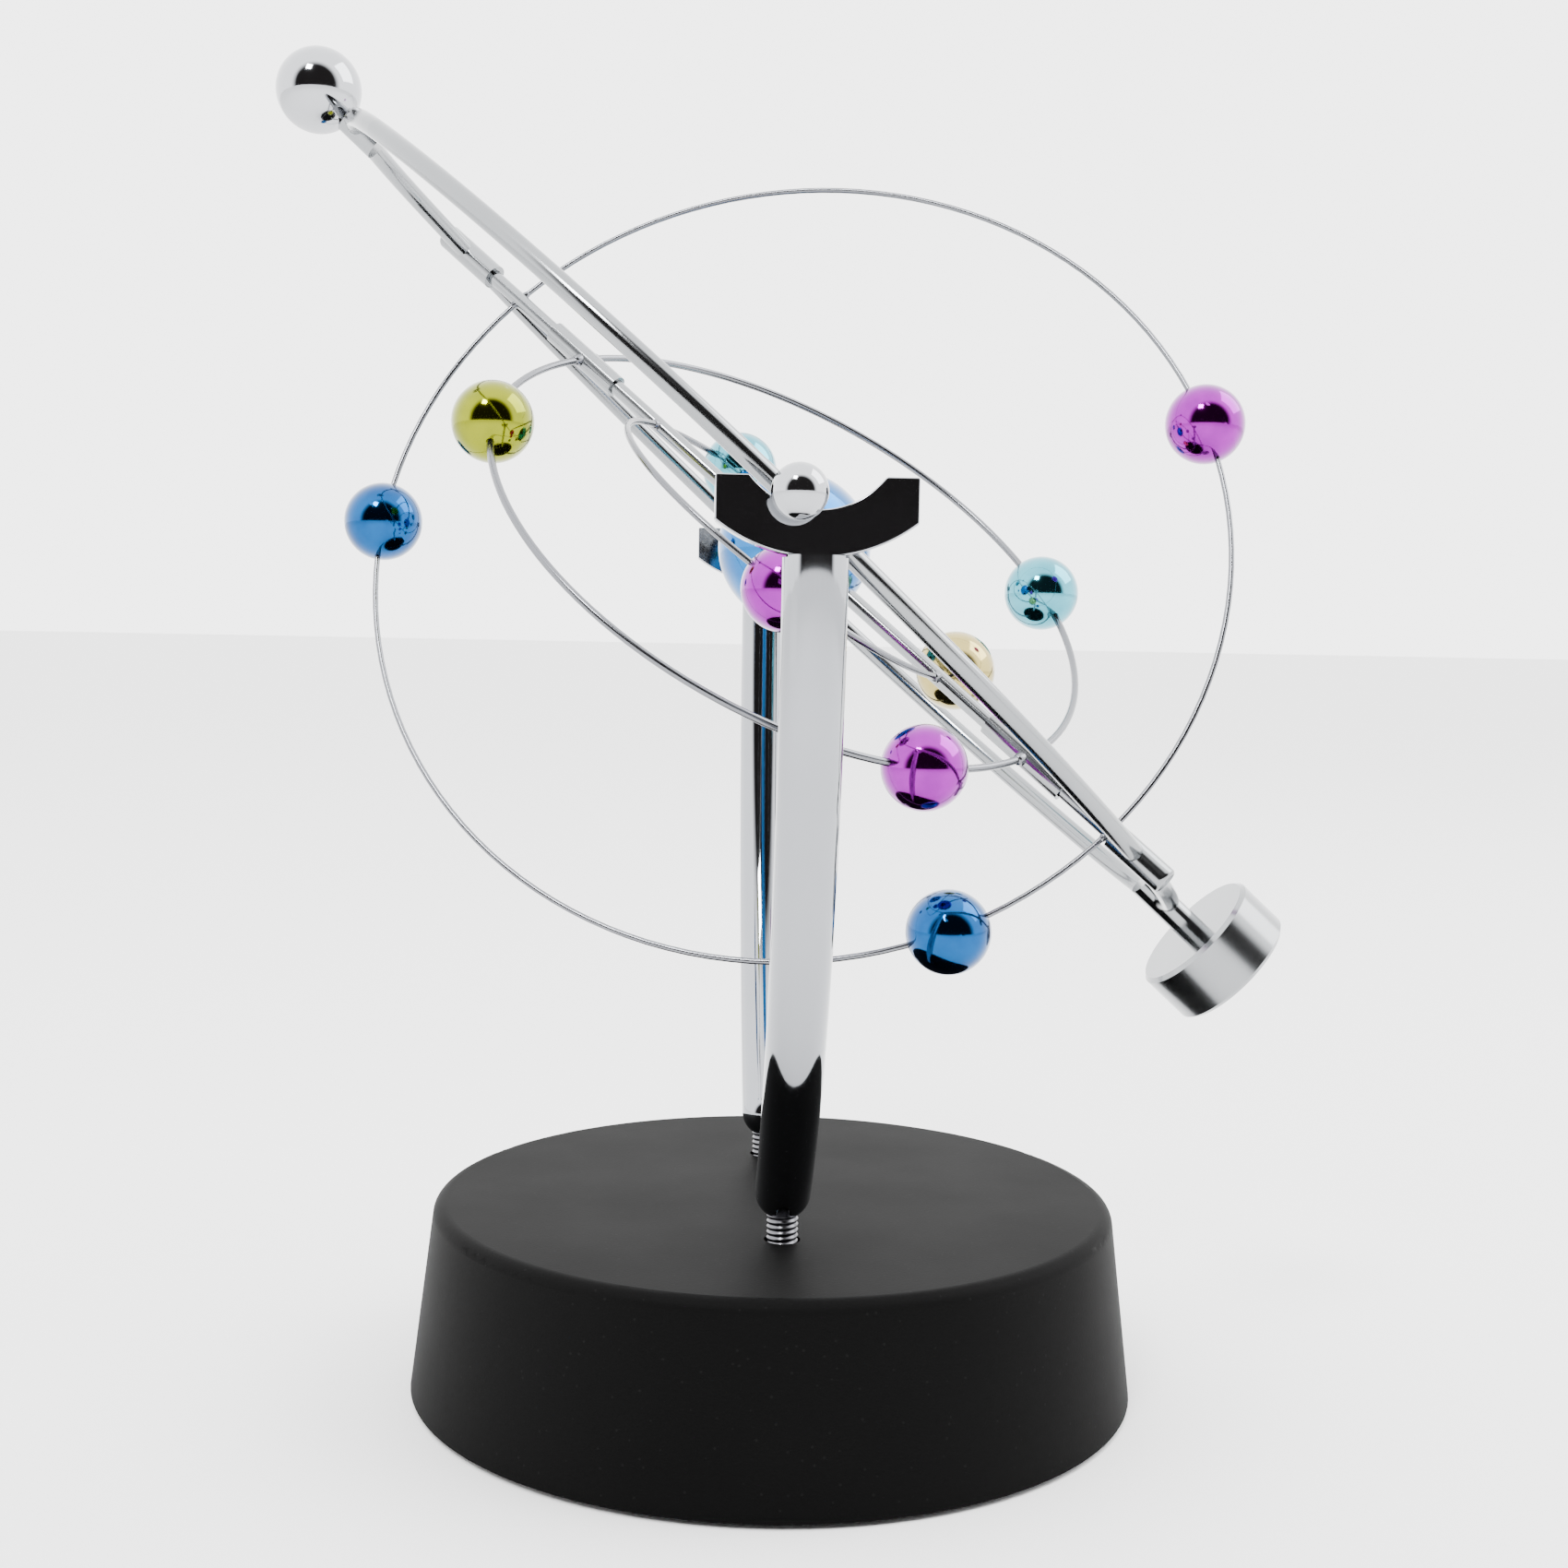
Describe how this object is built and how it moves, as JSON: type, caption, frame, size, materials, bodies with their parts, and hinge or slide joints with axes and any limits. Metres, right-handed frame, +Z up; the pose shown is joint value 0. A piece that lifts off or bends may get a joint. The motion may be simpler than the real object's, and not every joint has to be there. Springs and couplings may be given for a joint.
{
  "type": "orbit motion desk toy",
  "caption": "Tilting oval hoop on two bowed posts over a round base, with nested beaded wire rings turning round a globe; a magnet weight swings over a hidden drive coil.",
  "frame": {"origin": "centre of the round base's footprint, on the table", "axes": "+Z up, Y along the swing axis, +X towards the side where the magnet weight hangs at rest"},
  "size_m": [0.1534, 0.1488, 0.1994],
  "materials": {
    "base_plastic": "fine satin texture",
    "underside_plastic": "fine texture",
    "foot_rubber": "matt",
    "screw_steel": "zinc plated",
    "holder_plastic": "moulded",
    "cell_wrap": "shrink sleeve, plain",
    "contact_metal": "nickel plated",
    "copper_wire": "enamelled copper",
    "board_green": "solder mask",
    "component_black": "moulded",
    "post_chrome": "bright plating",
    "stud_steel": "rolled thread",
    "hoop_chrome": "bright plating",
    "ball_chrome": "bright plating",
    "weight_chrome": "bright plating with a soft satin face",
    "magnet_ferrite": "sintered",
    "ring_wire": "drawn and plated wire",
    "bead_blue": "metallised",
    "bead_magenta": "metallised",
    "bead_yellow_green": "metallised",
    "bead_cyan": "metallised",
    "bead_gold": "metallised",
    "globe_blue": "metallised"
  },
  "bodies": {
    "base": {"base_shell": "base_plastic", "bottom_plate": "underside_plastic", "battery_door": "underside_plastic", "base_screws": "screw_steel", "rubber_feet": "foot_rubber", "battery_holders": "holder_plastic", "battery_cell_1": "cell_wrap", "battery_cell_2": "cell_wrap", "battery_cell_3": "cell_wrap", "battery_cell_4": "cell_wrap", "battery_contacts": "contact_metal", "coil_bobbin": "holder_plastic", "coil_winding": "copper_wire", "coil_core": "contact_metal", "circuit_board": "board_green", "board_components": "component_black", "board_spacers": "holder_plastic", "front_post": "post_chrome", "rear_post": "post_chrome", "front_post_stud": "stud_steel", "rear_post_stud": "stud_steel", "post_nuts": "screw_steel", "front_yoke": "post_chrome", "rear_yoke": "post_chrome"},
    "hoop": {"hoop_bar_front": "hoop_chrome", "hoop_bar_rear": "hoop_chrome", "pivot_pin_front": "hoop_chrome", "pivot_pin_rear": "hoop_chrome", "pivot_ball_front": "ball_chrome", "pivot_ball_rear": "ball_chrome", "upper_ferrule": "hoop_chrome", "lower_ferrule": "hoop_chrome", "end_ball": "ball_chrome", "weight_case": "weight_chrome", "weight_magnet": "magnet_ferrite", "weight_cover": "weight_chrome", "upper_socket": "hoop_chrome", "lower_socket": "hoop_chrome"},
    "large_orbit": {"large_ring": "ring_wire", "large_bead_first": "bead_blue", "large_bead_second": "bead_magenta", "large_bead_third": "bead_blue", "upper_outer_rod": "hoop_chrome", "lower_outer_rod": "hoop_chrome"},
    "medium_orbit": {"medium_ring": "ring_wire", "medium_bead_first": "bead_yellow_green", "medium_bead_second": "bead_cyan", "medium_bead_third": "bead_magenta", "upper_sleeve": "hoop_chrome", "lower_sleeve": "hoop_chrome"},
    "small_orbit": {"small_ring": "ring_wire", "small_bead_first": "bead_cyan", "small_bead_second": "bead_gold", "small_bead_third": "bead_magenta", "inner_rod": "hoop_chrome", "globe": "globe_blue"}
  },
  "joints": [
    {"name": "hoop_swing", "type": "hinge", "parent": "base", "child": "hoop", "pos_m": [-0.0025, 0, 0.1316], "axis": [0, 1, 0], "continuous": true},
    {"name": "large_ring_turn", "type": "hinge", "parent": "hoop", "child": "large_orbit", "pos_m": [0.00137, 0, 0.12805], "axis": [0.6714, -0.4131, -0.6152], "range_deg": [-35, 35]},
    {"name": "medium_ring_turn", "type": "hinge", "parent": "large_orbit", "child": "medium_orbit", "pos_m": [0.00137, 0, 0.12805], "axis": [0.6714, -0.4131, -0.6152], "continuous": true},
    {"name": "small_ring_turn", "type": "hinge", "parent": "medium_orbit", "child": "small_orbit", "pos_m": [0.00137, 0, 0.12805], "axis": [0.6714, -0.4131, -0.6152], "continuous": true}
  ]
}
